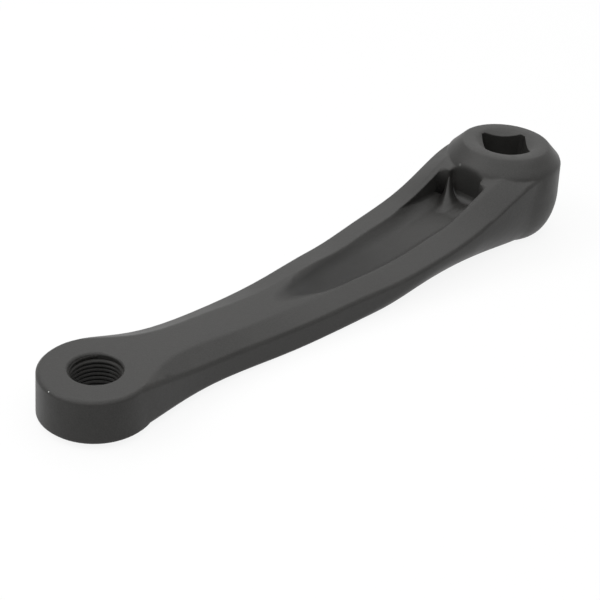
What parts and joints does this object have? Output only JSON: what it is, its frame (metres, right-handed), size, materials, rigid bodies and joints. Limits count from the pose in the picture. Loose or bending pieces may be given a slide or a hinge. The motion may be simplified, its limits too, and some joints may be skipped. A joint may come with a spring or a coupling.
{
  "type": "bicycle crank arm",
  "caption": "Forged left bicycle crank arm with a tapered, pocketed arm between a conical spindle boss with a square taper socket and a round threaded pedal eye.",
  "frame": {"origin": "on the spindle axis, in the plane that the outer side of the arm rests on", "axes": "+Z along the spindle axis towards the bicycle's middle, +X along the arm to the pedal eye"},
  "size_m": [0.2052, 0.0388, 0.03],
  "materials": {
    "satin_black": "satin"
  },
  "bodies": {
    "root": {"crank_arm": "satin_black"}
  },
  "joints": []
}
